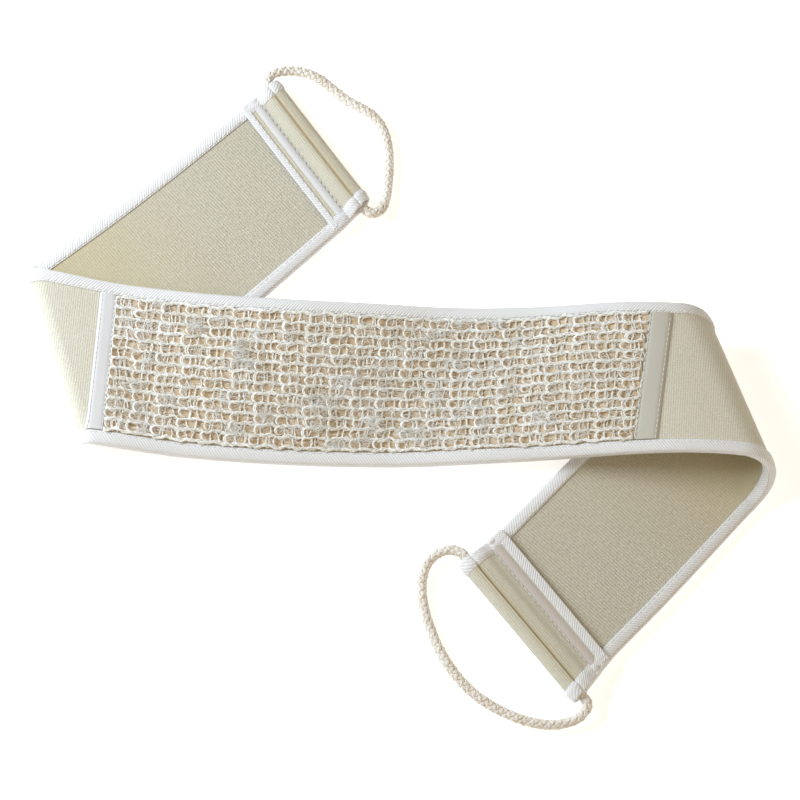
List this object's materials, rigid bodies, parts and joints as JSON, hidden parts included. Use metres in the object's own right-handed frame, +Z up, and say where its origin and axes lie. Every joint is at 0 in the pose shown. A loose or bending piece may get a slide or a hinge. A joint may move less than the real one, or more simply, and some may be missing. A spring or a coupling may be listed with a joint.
{
  "type": "loofah back scrubber",
  "caption": "Padded cloth strap with a knitted sisal scrubbing face and a rope handle at each end, folded in a Z; the folds and handles move.",
  "frame": {"origin": "middle of the bounding box's footprint, on the surface the folded strap lies on", "axes": "+Z up; +X to the right along the middle third as seen with the sisal face up and readable from above; +Y towards the left handle"},
  "size_m": [0.4004, 0.3772, 0.0352],
  "materials": {
    "front_cloth": "soft cotton jersey",
    "back_cloth": "looped cotton terry",
    "foam_padding": "soft wadding",
    "sisal_knit": "coarse fibrous knit",
    "cotton_binding": "matt twill tape",
    "stitching_thread": "matt thread",
    "cotton_rope": "braided cotton"
  },
  "bodies": {
    "centre": {"centre_front_cloth": "front_cloth", "centre_padding": "foam_padding", "centre_back_cloth": "back_cloth", "sisal_panel": "sisal_knit", "left_panel_tape": "cotton_binding", "right_panel_tape": "cotton_binding", "centre_upper_binding": "cotton_binding", "centre_lower_binding": "cotton_binding", "centre_upper_seam": "stitching_thread", "centre_lower_seam": "stitching_thread"},
    "left_arm": {"left_arm_front_cloth": "front_cloth", "left_arm_padding": "foam_padding", "left_arm_back_cloth": "back_cloth", "left_arm_upper_binding": "cotton_binding", "left_arm_lower_binding": "cotton_binding", "left_arm_upper_seam": "stitching_thread", "left_arm_lower_seam": "stitching_thread", "left_hem_binding": "cotton_binding", "left_hem_tape": "cotton_binding", "left_hem_seam": "stitching_thread"},
    "left_handle": {"left_handle_rope": "cotton_rope", "left_handle_splice": "cotton_rope"},
    "right_arm": {"right_arm_front_cloth": "front_cloth", "right_arm_padding": "foam_padding", "right_arm_back_cloth": "back_cloth", "right_arm_upper_binding": "cotton_binding", "right_arm_lower_binding": "cotton_binding", "right_arm_upper_seam": "stitching_thread", "right_arm_lower_seam": "stitching_thread", "right_hem_binding": "cotton_binding", "right_hem_tape": "cotton_binding", "right_hem_seam": "stitching_thread"},
    "right_handle": {"right_handle_rope": "cotton_rope", "right_handle_splice": "cotton_rope"}
  },
  "joints": [
    {"name": "left_fold", "type": "hinge", "parent": "centre", "child": "left_arm", "pos_m": [-0.18252, 0.01146, 0.0085], "axis": [-0.3169, 0.9485, 0], "range_deg": [0, 180]},
    {"name": "right_fold", "type": "hinge", "parent": "centre", "child": "right_arm", "pos_m": [0.18489, 0.00274, 0.0172], "axis": [0.3543, -0.9351, 0], "range_deg": [0, 180]},
    {"name": "left_handle_swing", "type": "hinge", "parent": "left_arm", "child": "left_handle", "pos_m": [-0.04378, 0.13887, 0.00645], "axis": [0.5827, -0.8127, 0], "range_deg": [0, 150]},
    {"name": "right_handle_swing", "type": "hinge", "parent": "right_arm", "child": "right_handle", "pos_m": [0.06652, -0.13362, 0.00645], "axis": [-0.6222, 0.7828, 0], "range_deg": [0, 150]}
  ]
}
